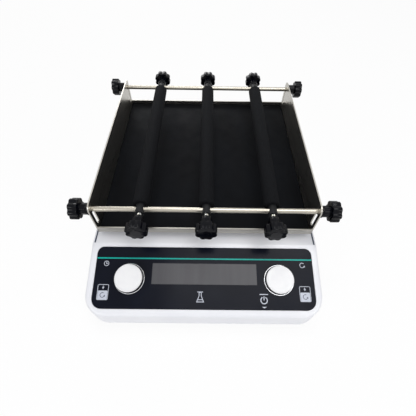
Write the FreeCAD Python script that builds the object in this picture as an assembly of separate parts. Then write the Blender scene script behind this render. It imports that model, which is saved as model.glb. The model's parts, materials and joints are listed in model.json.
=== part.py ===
import FreeCAD, Part
import math
import os

# Orbital shaker with a clamping-bar tray. Lengths are in millimetres, angles in degrees.
# The bench is z = 0, the console looks towards -Y, and the origin lies under the middle
# of the outer box.

# Base housing
base_width = 364.0
base_rear_room = 15.5
foot_height = 14.0
deck_clearance = 5.4
housing_wall = 3.0
housing_front_radius = 34.0
housing_rear_radius = 18.0
housing_edge_radius = 6.0
console_slope = 16.0
console_wall = 6.0

# Tray
tray_width = 340.0
tray_depth = 339.0
tray_gap = 12.5
tray_sheet = 2.0
wall_height = 64.0
wall_corner_radius = 10.0
lip_height = 13.3
tray_bend_radius = 2.2
mat_thickness = 4.0
mat_margin = 0.5

# Where the tray stands over the base
console_reach = 288.5
ridge_reach = 182.0

# Cross rods and clamping bars
rod_diameter = 8.0
rod_thread_diameter = 6.0
rod_inset = 10.0
rod_drop = 14.0
clamp_floor_gap = 4.0
slot_width = 7.2
slot_spare = 0.6
slot_floor_spare = 4.5
rod_end_length = 18.0
bar_pitch = 98.5
bar_shift = 2.0
foam_diameter = 24.0
foam_front_gap = 7.5
foam_rear_gap = 7.5
bar_tube_diameter = 10.0
bar_tube_wall = 1.5
bar_end_wall = 2.8
bar_end_overhang = 8.5
bar_spigot_length = 15.0

# Star knobs
knob_head_diameter = 33.0
knob_head_length = 17.0
knob_hub_length = 11.5
knob_hub_tip_diameter = 15.0
knob_hub_root_diameter = 18.0
knob_groove_radius = 3.4
knob_groove_depth = 3.2
knob_edge_bevel = 1.8
knob_lobes = 8
knob_cap_diameter = 17.0
knob_cap_depth = 0.6
rear_knob_gap = 2.0
front_knob_gap = 5.5
side_flange_diameter = 19.5
side_flange_length = 3.0
stud_clearance = 0.4

# Control panel
panel_side_offset = 12.0
panel_thickness = 2.0
panel_sink = 0.3
panel_top_offset = 6.2
panel_lower_offset = 10.6
panel_upper_radius = 10.0
panel_lower_radius = 15.5
panel_gap = 0.3
display_side_gap = 13.3
display_depth = 32.0
display_top_offset = 25.5
control_inset = 54.2
control_offset = 49.5
control_diameter = 42.0
control_height = 8.0
control_edge_radius = 1.0
control_skirt = 2.0
control_lift = 1.5
control_travel = 1.0
trim_gap = 1.1
trim_width = 1.2
trim_height = 1.5
encoder_shaft_diameter = 6.0
encoder_bush_diameter = 9.0
encoder_size = 14.0
encoder_bush_gap = 0.5
board_side_margin = 19.5
board_thickness = 1.6
board_top_margin = 12.0
board_lower_margin = 12.0
display_thickness = 9.0
display_border = 6.0
display_gap = 0.2

# Orbit mechanism
orbit_radius = 10.0
follower_reach = 125.0
plate_thickness = 4.0
shaft_diameter = 15.0
bearing_diameter = 32.0
bearing_width = 9.0
bearing_spacer = 3.0
bearing_housing_wall = 4.0
bearing_flange_diameter = 58.0
bearing_flange_thickness = 5.0
bearing_lip = 2.0
pulley_diameter = 90.0
motor_pulley_diameter = 30.0
pulley_rim = 3.0
pulley_flange = 1.0
belt_width = 6.0
belt_thickness = 1.8
belt_span = 110.0
motor_diameter = 80.0
motor_height = 23.0
motor_flange_width = 92.0
motor_flange_thickness = 3.0
motor_flange_radius = 3.0
motor_shaft_diameter = 6.0
level_gap = 1.0
crank_web_thickness = 6.0
crank_web_radius = 34.0
follower_web_radius = 13.0
crank_pin_diameter = 12.0
counterweight_thickness = 6.5
counterweight_inner_radius = 24.0
counterweight_outer_radius = 58.0
carrier_thickness = 4.0
carrier_rim = 3.0
carrier_corner_radius = 20.0
carrier_hub_drop = 6.0
pin_bearing_diameter = 28.0
pin_bearing_width = 8.0
pin_hub_wall = 4.0
post_inset = 13.0
post_diameter = 16.0
post_spigot_diameter = 8.0
deck_opening_gap = 4.0

# Electrics
supply_width = 60.0
supply_length = 110.0
supply_height = 30.0
supply_wall = 1.2
vent_count = 6
vent_width = 4.0
inlet_side_offset = 82.0
inlet_height = 46.0
inlet_flange_width = 50.0
inlet_flange_height = 26.0
inlet_flange_thickness = 2.5
inlet_body_width = 28.0
inlet_body_height = 20.0
inlet_body_length = 22.0
inlet_body_wall = 2.0
inlet_recess_depth = 17.0
inlet_screw_inset = 5.0
pin_spacing = 14.0
pin_rise = 4.0
pin_width = 4.0
pin_thickness = 2.0
pin_length = 20.0
switch_spacing = 48.0
switch_width = 15.0
switch_height = 24.0
switch_body_depth = 16.0
switch_flange = 2.0
switch_wall = 1.5
rocker_tilt = 8.0
rocker_gap = 0.5

# Feet and fasteners
foot_diameter = 30.0
foot_recess_diameter = 13.0
foot_recess_depth = 7.0
foot_inset = 40.0
boss_diameter = 10.0
boss_inset = 14.0
screw_diameter = 4.0
screw_head_diameter = 8.0
screw_head_height = 2.6
screw_grip = 10.0
small_screw_diameter = 3.0
small_head_diameter = 5.6
small_head_height = 1.6
socket_share = 0.5

# Fits and cuts
running_gap = 0.1
free_gap = 0.3
press_gap = 0.02
overrun = 5.0

# Plan places worked out from the sizes above
knob_length = knob_hub_length + knob_head_length
rod_reach = tray_depth / 2 - rod_inset
bar_end_reach = rod_reach + bar_end_overhang
bar_end_diameter = rod_diameter + 2 * bar_end_wall
rear_reach = bar_end_reach + rear_knob_gap + knob_length
tray_y = (console_reach - rear_reach) / 2
base_front = tray_y - console_reach
ridge_y = tray_y - ridge_reach
drive_y = tray_y - orbit_radius
motor_y = drive_y - belt_span
base_back = drive_y + follower_reach + bearing_flange_diameter / 2 + base_rear_room
base_depth = base_back - base_front
carrier_size = 2 * (follower_reach + carrier_rim)
post_spacing = carrier_size - 2 * post_inset
wall_inner = tray_width / 2 - tray_sheet
inlet_recess_width = inlet_body_width - 2 * inlet_body_wall
inlet_recess_height = inlet_body_height - 2 * inlet_body_wall
inlet_screw_spacing = inlet_flange_width - 2 * inlet_screw_inset
inlet_across = inlet_side_offset - base_width / 2
switch_across = inlet_across + switch_spacing

# Sizes on the console, measured along its slope
console_length = (console_reach - ridge_reach) / math.cos(math.radians(console_slope))
panel_width = base_width - 2 * panel_side_offset
panel_depth = console_length - panel_top_offset - panel_lower_offset
control_spacing = panel_width - 2 * control_inset
display_width = control_spacing - control_diameter - 2 * display_side_gap
trim_diameter = control_diameter + 2 * (trim_gap + trim_width)
board_width = panel_width - 2 * board_side_margin

# Heights, from the bottom plate up
plate_top = foot_height + plate_thickness
bearing_block_height = bearing_lip + 2 * bearing_width + bearing_spacer + bearing_lip / 2
housing_top = plate_top + bearing_block_height
pulley_bottom = housing_top + level_gap
pulley_height = belt_width + 2 * pulley_flange + 2 * free_gap
pulley_top = pulley_bottom + pulley_height
web_bottom = pulley_top + level_gap
web_top = web_bottom + crank_web_thickness
counterweight_top = web_top + counterweight_thickness
carrier_bottom = counterweight_top + level_gap
carrier_top = carrier_bottom + carrier_thickness
hub_bottom = carrier_bottom - carrier_hub_drop
pin_top = carrier_top - free_gap
deck_height = carrier_top + deck_clearance + housing_wall
tray_underside = deck_height + tray_gap
mat_top = tray_underside + tray_sheet + mat_thickness
rod_z = tray_underside + wall_height - rod_drop
rod_travel = rod_z - foam_diameter / 2 - clamp_floor_gap - mat_top
bearing_seats = (plate_top + bearing_lip, plate_top + bearing_lip + bearing_width + bearing_spacer)
pin_bearing_seat = hub_bottom + level_gap

UP = FreeCAD.Vector(0, 0, 1)
ACROSS = FreeCAD.Vector(1, 0, 0)
BACK = FreeCAD.Vector(0, 1, 0)
ORIGIN = FreeCAD.Vector(0, 0, 0)

# Followers by their share of a full turn round the main crank, from +X
follower_turn_shares = {"rear": 3 / 12, "left": 7 / 12, "right": 11 / 12}


def point(x, y, z):
    return FreeCAD.Vector(x, y, z)


def block(x, y, z):
    """A box from three pairs of low and high values."""
    return Part.makeBox(x[1] - x[0], y[1] - y[0], z[1] - z[0], point(x[0], y[0], z[0]))


def middle_block(x, y, z, width, depth, height):
    """A box centred in plan on x and y that stands on z."""
    return block((x - width / 2, x + width / 2), (y - depth / 2, y + depth / 2), (z, z + height))


def column(x, y, bottom, top, radius):
    return Part.makeCylinder(radius, top - bottom, point(x, y, bottom), UP)


def shaft_between(start, end, radius):
    run = end - start
    return Part.makeCylinder(radius, run.Length, start, run)


def cone_between(start, end, start_radius, end_radius):
    run = end - start
    return Part.makeCone(start_radius, end_radius, run.Length, start, run)


def corner_arc(x, y, z, radius, start_angle):
    """Quarter arc about x, y that starts at the given angle."""
    ends = [math.radians(start_angle + turn) for turn in (0, 45, 90)]
    spots = [point(x + radius * math.cos(a), y + radius * math.sin(a), z) for a in ends]
    return Part.Arc(*spots).toShape()


def rounded_outline(x, y, z, front_radius, rear_radius):
    """Closed rectangle outline with round corners, from low and high values."""
    corners = [
        (x[1] - rear_radius, y[1] - rear_radius, rear_radius, 0),
        (x[0] + rear_radius, y[1] - rear_radius, rear_radius, 90),
        (x[0] + front_radius, y[0] + front_radius, front_radius, 180),
        (x[1] - front_radius, y[0] + front_radius, front_radius, 270),
    ]
    arcs = [corner_arc(cx, cy, z, radius, angle) for cx, cy, radius, angle in corners]
    edges = []
    for index, arc in enumerate(arcs):
        following = arcs[(index + 1) % len(arcs)]
        edges.append(arc)
        edges.append(Part.LineSegment(arc.Vertexes[-1].Point, following.Vertexes[0].Point).toShape())
    return Part.Wire(edges)


def rounded_plate(x, y, z, front_radius, rear_radius):
    """Plate with round corners between two heights."""
    face = Part.Face(rounded_outline(x, y, z[0], front_radius, rear_radius))
    return face.extrude(point(0, 0, z[1] - z[0]))


def on_console(shape):
    """Turns a shape drawn flat, with y = 0 on the ridge, onto the sloped console."""
    shape.rotate(ORIGIN, ACROSS, console_slope)
    shape.translate(point(0, ridge_y, deck_height))
    return shape


def joined(shapes):
    first = shapes[0]
    return first.multiFuse(shapes[1:]).removeSplitter() if len(shapes) > 1 else first


def group(shapes):
    return Part.makeCompound(shapes)


def screw(head_seat, direction, length, diameter, head_diameter, head_height):
    """Pan-head screw: the head stands behind the seat and the shank runs along the direction."""
    head_end = head_seat - direction * head_height
    head = shaft_between(head_end, head_seat, head_diameter / 2)
    shank = shaft_between(head_seat, head_seat + direction * length, diameter / 2 - press_gap)
    socket_depth = head_height * socket_share
    socket = shaft_between(head_end, head_end + direction * socket_depth, diameter * socket_share)
    return head.fuse(shank).cut(socket)


def main_screw(head_seat, direction, length):
    return screw(head_seat, direction, length, screw_diameter, screw_head_diameter, screw_head_height)


def small_screw(head_seat, direction, length):
    return screw(
        head_seat, direction, length, small_screw_diameter, small_head_diameter, small_head_height
    )


def carrier_spots():
    """Plan places of the four crank axes: the main crank first, then the followers."""
    spots = {"main": (0, drive_y)}
    for name, turn_share in follower_turn_shares.items():
        turn = 2 * math.pi * turn_share
        x = follower_reach * math.cos(turn)
        y = drive_y + follower_reach * math.sin(turn)
        spots[name] = (x, y)
    return spots


def post_spots():
    half = post_spacing / 2
    return [(x, tray_y + y) for x in (-half, half) for y in (-half, half)]


def foot_spots():
    x = base_width / 2 - foot_inset
    return [(side * x, y) for side in (-1, 1) for y in (base_front + foot_inset, base_back - foot_inset)]


def boss_spots():
    x = base_width / 2 - boss_inset
    front = base_front + housing_front_radius
    rear = base_back - boss_inset
    return [(side * x, y) for side in (-1, 1) for y in (front, drive_y, rear)]


def housing_form(inset, deck_drop, console_drop):
    """Housing block with its sides and top moved inwards, without rounded edges."""
    x = base_width / 2 - inset
    y = (base_front + inset, base_back - inset)
    z = (foot_height, deck_height - deck_drop)
    form = rounded_plate((-x, x), y, z, housing_front_radius - inset, housing_rear_radius - inset)
    above = block((-base_width, base_width), (-base_depth, base_depth), (-console_drop, base_depth))
    return form.cut(on_console(above))


def top_edges(form):
    """Edges of the top faces that a hand would touch: rim, console border and ridge."""
    found = []
    for edge in form.Edges:
        low = edge.BoundBox.ZMin
        upright = edge.BoundBox.ZLength > edge.BoundBox.DiagonalLength * math.cos(math.radians(20))
        if low > foot_height + press_gap and not upright:
            found.append(edge)
    return found


def panel_place(inset, z):
    """Plate with the panel's outline drawn flat on the console, moved inwards by inset."""
    x = panel_width / 2 - inset
    y = (-panel_top_offset - panel_depth + inset, -panel_top_offset - inset)
    return rounded_plate((-x, x), y, z, panel_lower_radius - inset, panel_upper_radius - inset)


def display_place(border, z):
    x = display_width / 2 + border
    top = -panel_top_offset - display_top_offset + border
    return block((-x, x), (top - display_depth - 2 * border, top), z)


def control_spots():
    y = -panel_top_offset - control_offset
    return {"left": (-control_spacing / 2, y), "right": (control_spacing / 2, y)}


panel_under = -panel_sink - panel_thickness
module_top = panel_under - display_gap
board_top = module_top - display_thickness
board_y = (-panel_top_offset - panel_depth + board_lower_margin, -panel_top_offset - board_top_margin)


def board_screw_spots():
    x = board_width / 2 - boss_diameter
    return [(side * x, y) for side in (-1, 1) for y in (board_y[0] + boss_diameter / 2,
                                                        board_y[1] - boss_diameter / 2)]


def housing_shell():
    outer = housing_form(0, 0, 0)
    outer = outer.makeFillet(housing_edge_radius, top_edges(outer))
    cavity = housing_form(housing_wall, housing_wall, console_wall)
    below = block((-base_width, base_width), (base_front - overrun, base_back + overrun),
                  (0, foot_height + press_gap))
    shell = outer.cut(cavity).cut(below)
    trim = housing_form(housing_wall / 2, housing_wall / 2, (console_wall + housing_wall) / 2)
    bosses = [column(x, y, plate_top, deck_height, boss_diameter / 2) for x, y in boss_spots()]
    standoffs = [column(x, y, board_top, 0, boss_diameter / 3) for x, y in board_screw_spots()]
    shell = joined([shell] + [boss.common(trim) for boss in bosses]
                   + [on_console(piece).common(trim) for piece in standoffs])
    cuts = [on_console(panel_place(-panel_gap, (panel_under, overrun)))]
    cuts.append(on_console(display_place(display_border + panel_gap, (-2 * console_wall, 0))))
    for x, y in control_spots().values():
        radius = encoder_bush_diameter / 2 + encoder_bush_gap
        cuts.append(on_console(column(x, y, -2 * console_wall, 0, radius)))
    for x, y in post_spots():
        radius = post_diameter / 2 + orbit_radius + deck_opening_gap
        cuts.append(column(x, y - orbit_radius, deck_height - overrun, deck_height + overrun, radius))
    for x, y in boss_spots():
        cuts.append(column(x, y, foot_height, plate_top + screw_grip, screw_diameter / 2))
    for x, y in board_screw_spots():
        hole = column(x, y, board_top - overrun, board_top + console_wall, small_screw_diameter / 2)
        cuts.append(on_console(hole))
    rear_cut = (base_back - housing_wall - overrun, base_back + overrun)
    cuts.append(rear_opening(inlet_across, inlet_body_width, inlet_body_height, rear_cut))
    cuts.append(rear_opening(switch_across, switch_width, switch_height, rear_cut))
    for side in (-1, 1):
        x = inlet_across + side * inlet_screw_spacing / 2
        hole = shaft_between(point(x, rear_cut[0], inlet_height), point(x, rear_cut[1], inlet_height),
                             small_screw_diameter / 2)
        cuts.append(hole)
    return shell.cut(group(cuts))


def rear_opening(x, width, height, depth):
    half = width / 2 + free_gap
    tall = height / 2 + free_gap
    return block((x - half, x + half), depth, (inlet_height - tall, inlet_height + tall))


def base_plate():
    inset = housing_wall + 2 * panel_gap
    x = base_width / 2 - inset
    y = (base_front + inset, base_back - inset)
    plate = rounded_plate((-x, x), y, (foot_height, plate_top), housing_front_radius - inset,
                          housing_rear_radius - inset)
    under = foot_height - overrun
    over = plate_top + overrun
    holes = [column(x, y, under, over, screw_diameter / 2) for x, y in foot_spots() + boss_spots()]
    holes += [column(x, y, under, over, small_screw_diameter / 2) for x, y in mechanism_screw_spots()]
    for index in range(vent_count):
        x = supply_x() + (index - (vent_count - 1) / 2) * supply_width / vent_count
        for slot_x in (-x, x):
            holes.append(middle_block(slot_x, supply_y(), under, vent_width, supply_length / 2, over - under))
    return plate.cut(group(holes))


def supply_x():
    return -base_width / 2 + boss_inset + boss_diameter + supply_width / 2


def supply_y():
    return drive_y + supply_length / 3


def mechanism_screw_spots():
    """Screws of the bearing housings and of the motor flange."""
    spots = []
    reach = (bearing_flange_diameter + bearing_diameter + 2 * bearing_housing_wall) / 4
    for x, y in carrier_spots().values():
        for turn in (45, 135, 225, 315):
            angle = math.radians(turn)
            spots.append((x + reach * math.cos(angle), y + reach * math.sin(angle)))
    half = motor_flange_width / 2 - small_head_diameter
    spots += [(x, motor_y + y) for x in (-half, half) for y in (-half, half)]
    return spots


def rubber_feet():
    feet = []
    for x, y in foot_spots():
        foot = column(x, y, 0, foot_height, foot_diameter / 2)
        foot = foot.makeChamfer(housing_wall / 2, [foot.Edges[0], foot.Edges[2]])
        recess = column(x, y, 0, foot_recess_depth, foot_recess_diameter / 2)
        hole = column(x, y, 0, foot_height, screw_diameter / 2)
        feet.append(foot.cut(recess).cut(hole))
    return group(feet)


def plate_screws():
    screws = []
    for x, y in foot_spots():
        seat = point(x, y, foot_recess_depth)
        screws.append(main_screw(seat, UP, plate_top - foot_recess_depth))
    for x, y in boss_spots():
        screws.append(main_screw(point(x, y, foot_height), UP, plate_thickness + screw_grip))
    return group(screws)


def mechanism_screws():
    screws = []
    spots = mechanism_screw_spots()
    for index, (x, y) in enumerate(spots):
        on_motor = index >= len(spots) - 4
        seat_height = motor_flange_thickness if on_motor else bearing_flange_thickness
        seat = point(x, y, plate_top + seat_height)
        screws.append(small_screw(seat, -UP, seat_height + plate_thickness))
    return group(screws)


def bearing_housings():
    blocks = []
    outer = bearing_diameter / 2 + bearing_housing_wall
    for x, y in carrier_spots().values():
        flange = column(x, y, plate_top, plate_top + bearing_flange_thickness, bearing_flange_diameter / 2)
        barrel = column(x, y, plate_top, housing_top, outer)
        body = flange.fuse(barrel)
        bore = column(x, y, bearing_seats[0], housing_top + overrun, bearing_diameter / 2)
        floor_hole = column(x, y, plate_top - overrun, housing_top, shaft_diameter / 2 + free_gap)
        body = body.cut(bore).cut(floor_hole)
        blocks.append(body)
    holes = [column(x, y, plate_top - overrun, plate_top + overrun + bearing_flange_thickness,
                    small_screw_diameter / 2) for x, y in mechanism_screw_spots()]
    return group([body.cut(group(holes)) for body in blocks])


def ball_bearing(x, y, bottom, inner, outer, width):
    """Closed ball bearing drawn as one ring with a shallow groove in each face."""
    ring = column(x, y, bottom, bottom + width, outer - press_gap)
    middle = (inner + outer) / 2
    groove_half = (outer - inner) / 4
    groove_depth = width / 10
    for low, high in ((bottom, bottom + groove_depth), (bottom + width - groove_depth, bottom + width)):
        groove = column(x, y, low, high, middle + groove_half)
        ring = ring.cut(groove.cut(column(x, y, low, high, middle - groove_half)))
    return ring.cut(column(x, y, bottom - overrun, bottom + width + overrun, inner + running_gap))


def shaft_bearings():
    rings = []
    for x, y in carrier_spots().values():
        for seat in bearing_seats:
            rings.append(ball_bearing(x, y, seat, shaft_diameter / 2, bearing_diameter / 2, bearing_width))
    return group(rings)


def carrier_bearings():
    rings = []
    for x, y in carrier_spots().values():
        rings.append(ball_bearing(x, y + orbit_radius, pin_bearing_seat, crank_pin_diameter / 2,
                                  pin_bearing_diameter / 2, pin_bearing_width))
    return group(rings)


def crank_shaft(x, y):
    shaft = column(x, y, plate_top + level_gap, web_bottom, shaft_diameter / 2)
    pin = column(x, y + orbit_radius, web_bottom, pin_top, crank_pin_diameter / 2)
    return shaft.fuse(pin)


def main_crank():
    x, y = carrier_spots()["main"]
    web = column(x, y, web_bottom, web_top, crank_web_radius)
    holes = [column(sx, sy, web_bottom - overrun, web_top + overrun, small_screw_diameter / 2)
             for sx, sy in counterweight_screw_spots()]
    return crank_shaft(x, y).fuse(web).removeSplitter().cut(group(holes))


def counterweight_screw_spots():
    reach = (counterweight_inner_radius + crank_web_radius) / 2
    angles = [math.radians(turn) for turn in (215, 270, 325)]
    return [(reach * math.cos(a), drive_y + reach * math.sin(a)) for a in angles]


def follower_crank(name):
    x, y = carrier_spots()[name]
    ends = [column(x, py, web_bottom, web_top, follower_web_radius) for py in (y, y + orbit_radius)]
    bridge = block((x - follower_web_radius, x + follower_web_radius), (y, y + orbit_radius),
                   (web_bottom, web_top))
    return joined([crank_shaft(x, y), bridge] + ends)


def drive_pulley():
    x, y = carrier_spots()["main"]
    return pulley(x, y, pulley_diameter / 2, shaft_diameter / 2)


def pulley(x, y, groove_radius, bore_radius):
    """Flanged belt pulley with a plain groove."""
    body = column(x, y, pulley_bottom, pulley_top, groove_radius + pulley_rim)
    low = pulley_bottom + pulley_flange
    high = pulley_top - pulley_flange
    groove = column(x, y, low, high, groove_radius + pulley_rim + overrun)
    body = body.cut(groove.cut(column(x, y, low, high, groove_radius)))
    return body.cut(column(x, y, pulley_bottom - overrun, pulley_top + overrun, bore_radius + press_gap))


def counterweight():
    ring = column(0, drive_y, web_top, counterweight_top, counterweight_outer_radius)
    ring = ring.cut(column(0, drive_y, web_top, counterweight_top, counterweight_inner_radius))
    reach = counterweight_outer_radius + overrun
    front_half = block((-reach, reach), (drive_y - reach, drive_y), (web_top, counterweight_top))
    holes = [column(x, y, web_top - overrun, counterweight_top + overrun, small_screw_diameter / 2)
             for x, y in counterweight_screw_spots()]
    seats = [column(x, y, counterweight_top - small_head_height, counterweight_top + overrun,
                    small_head_diameter / 2 + free_gap) for x, y in counterweight_screw_spots()]
    return ring.common(front_half).cut(group(holes)).cut(group(seats))


def motor_pulley():
    shaft = column(0, motor_y, plate_top + motor_height / 2, pulley_top + level_gap,
                   motor_shaft_diameter / 2)
    wheel = pulley(0, motor_y, motor_pulley_diameter / 2, 0)
    return wheel.fuse(shaft).removeSplitter()


def drive_motor():
    body = column(0, motor_y, plate_top, plate_top + motor_height, motor_diameter / 2)
    body = body.makeChamfer(motor_flange_thickness / 2, [body.Edges[0]])
    half = motor_flange_width / 2
    flange = rounded_plate((-half, half), (motor_y - half, motor_y + half),
                           (plate_top, plate_top + motor_flange_thickness), motor_flange_radius,
                           motor_flange_radius)
    bore = column(0, motor_y, plate_top + motor_height / 2 - level_gap, plate_top + motor_height + overrun,
                  motor_shaft_diameter / 2 + running_gap)
    holes = [column(x, y, plate_top - overrun, plate_top + overrun, small_screw_diameter / 2)
             for x, y in mechanism_screw_spots()]
    return body.fuse(flange).cut(bore).cut(group(holes))


def belt_face(big_radius, small_radius, z):
    """Face inside a belt line that runs round both pulleys."""
    lean = (big_radius - small_radius) / belt_span
    side = math.sqrt(1 - lean * lean)
    big = point(0, drive_y, z)
    small = point(0, motor_y, z)
    edges = []
    tangent = {}
    for hand in (-1, 1):
        normal = point(hand * side, -lean, 0)
        tangent[hand] = (big + normal * big_radius, small + normal * small_radius)
    edges.append(Part.LineSegment(tangent[-1][0], tangent[-1][1]).toShape())
    edges.append(Part.Arc(tangent[-1][1], small - BACK * small_radius, tangent[1][1]).toShape())
    edges.append(Part.LineSegment(tangent[1][1], tangent[1][0]).toShape())
    edges.append(Part.Arc(tangent[1][0], big + BACK * big_radius, tangent[-1][0]).toShape())
    return Part.Face(Part.Wire(edges))


def drive_belt():
    low = pulley_bottom + pulley_flange + free_gap
    inner = (pulley_diameter / 2 + free_gap, motor_pulley_diameter / 2 + free_gap)
    outer = [radius + belt_thickness for radius in inner]
    run = UP * belt_width
    return belt_face(*outer, low).extrude(run).cut(belt_face(*inner, low).extrude(run))


def carrier_plate():
    half = carrier_size / 2
    plate = rounded_plate((-half, half), (tray_y - half, tray_y + half), (carrier_bottom, carrier_top),
                          carrier_corner_radius, carrier_corner_radius)
    hub_radius = pin_bearing_diameter / 2 + pin_hub_wall
    lip_radius = pin_bearing_diameter / 2 - pin_hub_wall / 2
    hubs = []
    cuts = []
    for x, y in carrier_spots().values():
        pin_y = y + orbit_radius
        hubs.append(column(x, pin_y, hub_bottom, carrier_top, hub_radius))
        cuts.append(column(x, pin_y, pin_bearing_seat, carrier_top + overrun, pin_bearing_diameter / 2))
        cuts.append(column(x, pin_y, hub_bottom - overrun, carrier_top, lip_radius))
    for x, y in post_spots():
        cuts.append(column(x, y, carrier_bottom - overrun, carrier_top + overrun,
                           post_spigot_diameter / 2))
    window = carrier_size / 6
    for x in (-1, 1):
        window_y = (carrier_spots()["rear"][1] + tray_y) / 2
        cuts.append(column(x * window * 3 / 2, window_y, carrier_bottom - overrun, carrier_top + overrun,
                           window / 2))
    return joined([plate] + hubs).cut(group(cuts))


def carrier_posts():
    posts = []
    for x, y in post_spots():
        post = column(x, y, carrier_top, tray_underside, post_diameter / 2)
        spigot = column(x, y, carrier_bottom, carrier_top, post_spigot_diameter / 2 - press_gap)
        thread = column(x, y, tray_underside - screw_grip, tray_underside + overrun, screw_diameter / 2)
        posts.append(post.fuse(spigot).removeSplitter().cut(thread))
    return group(posts)


def slot_cut(y):
    """Upright slot through both side walls at one rod."""
    low = rod_z - rod_travel - rod_thread_diameter / 2 - slot_floor_spare + slot_width / 2
    high = rod_z + rod_thread_diameter / 2 + slot_spare - slot_width / 2
    reach = tray_width / 2 + overrun
    ends = [shaft_between(point(-reach, y, z), point(reach, y, z), slot_width / 2) for z in (low, high)]
    middle = block((-reach, reach), (y - slot_width / 2, y + slot_width / 2), (low, high))
    return ends + [middle]


def tray():
    half = tray_width / 2
    y = (tray_y - tray_depth / 2, tray_y + tray_depth / 2)
    top = tray_underside + wall_height
    body = block((-half, half), y, (tray_underside, top))
    corners = [edge for edge in body.Edges
               if edge.BoundBox.XLength > half and edge.BoundBox.ZMin > tray_underside + overrun]
    body = body.makeFillet(wall_corner_radius, corners)
    bends = [edge for edge in body.Edges if edge.BoundBox.ZMax < tray_underside + press_gap]
    body = body.makeFillet(tray_bend_radius, bends)
    floor_top = tray_underside + tray_sheet
    inside = block((-wall_inner, wall_inner), (y[0] + tray_sheet, y[1] - tray_sheet),
                   (floor_top, top + overrun))
    over_lips = block((-wall_inner, wall_inner), (y[0] - overrun, y[1] + overrun),
                      (tray_underside + lip_height, top + overrun))
    cuts = [inside, over_lips]
    for rod_y in (tray_y - rod_reach, tray_y + rod_reach):
        cuts += slot_cut(rod_y)
    for x, post_y in post_spots():
        cuts.append(column(x, post_y, tray_underside - overrun, floor_top + overrun, screw_diameter / 2))
    for cut in cuts:
        body = body.cut(cut)
    return body


def tray_mat():
    half = wall_inner - mat_margin
    deep = tray_depth / 2 - tray_sheet - mat_margin
    low = tray_underside + tray_sheet
    mat = block((-half, half), (tray_y - deep, tray_y + deep), (low, mat_top))
    pockets = [column(x, y, low, low + small_head_height + free_gap, screw_head_diameter / 2 + free_gap)
               for x, y in post_spots()]
    return mat.cut(group(pockets))


def tray_screws():
    seat_z = tray_underside + tray_sheet
    return group([screw(point(x, y, seat_z), -UP, tray_sheet + screw_grip, screw_diameter,
                        screw_head_diameter, small_head_height) for x, y in post_spots()])


def cross_rod(y):
    shoulder = wall_inner - free_gap
    end = tray_width / 2 + rod_end_length
    bar = shaft_between(point(-shoulder, y, rod_z), point(shoulder, y, rod_z), rod_diameter / 2)
    thread = shaft_between(point(-end, y, rod_z), point(end, y, rod_z), rod_thread_diameter / 2)
    return bar.fuse(thread)


def bar_places():
    return {"left": bar_shift - bar_pitch, "centre": bar_shift, "right": bar_shift + bar_pitch}


def foam_ends():
    return (tray_y - rod_reach + foam_front_gap, tray_y + rod_reach - foam_rear_gap)


def along_bar(x, start_y, end_y, radius):
    return shaft_between(point(x, start_y, rod_z), point(x, end_y, rod_z), radius)


def bar_tube(x):
    y = foam_ends()
    outer = along_bar(x, y[0], y[1], bar_tube_diameter / 2)
    return outer.cut(along_bar(x, y[0] - overrun, y[1] + overrun, bar_tube_diameter / 2 - bar_tube_wall))


def foam_sleeve(x):
    y = foam_ends()
    outer = along_bar(x, y[0], y[1], foam_diameter / 2)
    round_edges = [edge for edge in outer.Edges if edge.BoundBox.XLength > foam_diameter / 2
                   and edge.BoundBox.YLength < overrun]
    outer = outer.makeFillet(bar_tube_wall, round_edges)
    return outer.cut(along_bar(x, y[0] - overrun, y[1] + overrun, bar_tube_diameter / 2 + press_gap))


def bar_ends(x):
    """Two end fittings that plug into the tube and ride on the cross rods."""
    fittings = []
    spigot_radius = bar_tube_diameter / 2 - bar_tube_wall - press_gap
    for side, foam_end in zip((-1, 1), foam_ends()):
        outer_end = tray_y + side * bar_end_reach
        rod_y = tray_y + side * rod_reach
        neck = along_bar(x, foam_end, outer_end, bar_end_diameter / 2)
        spigot = along_bar(x, foam_end - side * bar_spigot_length, foam_end, spigot_radius)
        cross_hole = shaft_between(point(x - foam_diameter, rod_y, rod_z),
                                   point(x + foam_diameter, rod_y, rod_z),
                                   rod_diameter / 2 + running_gap)
        stud_hole = along_bar(x, rod_y, outer_end + side * overrun, rod_thread_diameter / 2 + running_gap)
        fittings.append(neck.fuse(spigot).removeSplitter().cut(cross_hole).cut(stud_hole))
    return group(fittings)


def star_knob(tip, direction):
    """Star knob whose hub starts at the tip and whose head lies along the direction."""
    head_start = tip + direction * knob_hub_length
    head_end = tip + direction * knob_length
    hub = cone_between(tip, head_start, knob_hub_tip_diameter / 2, knob_hub_root_diameter / 2)
    head = shaft_between(head_start, head_end, knob_head_diameter / 2)
    head = head.makeChamfer(knob_edge_bevel, [edge for edge in head.Edges if edge.Closed])
    sideways = UP
    pitch = 360 / knob_lobes
    centre_radius = knob_head_diameter / 2 + knob_groove_radius - knob_groove_depth
    for index in range(knob_lobes):
        turn = FreeCAD.Rotation(direction, (index + 1 / 2) * pitch)
        centre = turn.multVec(sideways) * centre_radius
        groove = shaft_between(head_start + centre - direction * overrun, head_end + centre
                               + direction * overrun, knob_groove_radius)
        head = head.cut(groove)
    cap = shaft_between(head_end - direction * knob_cap_depth, head_end + direction * overrun,
                        knob_cap_diameter / 2)
    return hub.fuse(head).removeSplitter().cut(cap)


def side_knob(side, rod_side):
    """Knob on the threaded end of a cross rod, just outside the tray wall."""
    direction = ACROSS * side
    tip = point(side * (tray_width / 2 + free_gap), tray_y + rod_side * rod_reach, rod_z)
    end = tip + direction * (rod_end_length + free_gap)
    flange = shaft_between(tip, tip + direction * side_flange_length, side_flange_diameter / 2)
    return star_knob(tip, direction).fuse(flange).removeSplitter().cut(
        shaft_between(tip - direction * overrun, end, rod_thread_diameter / 2 + running_gap))


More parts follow.
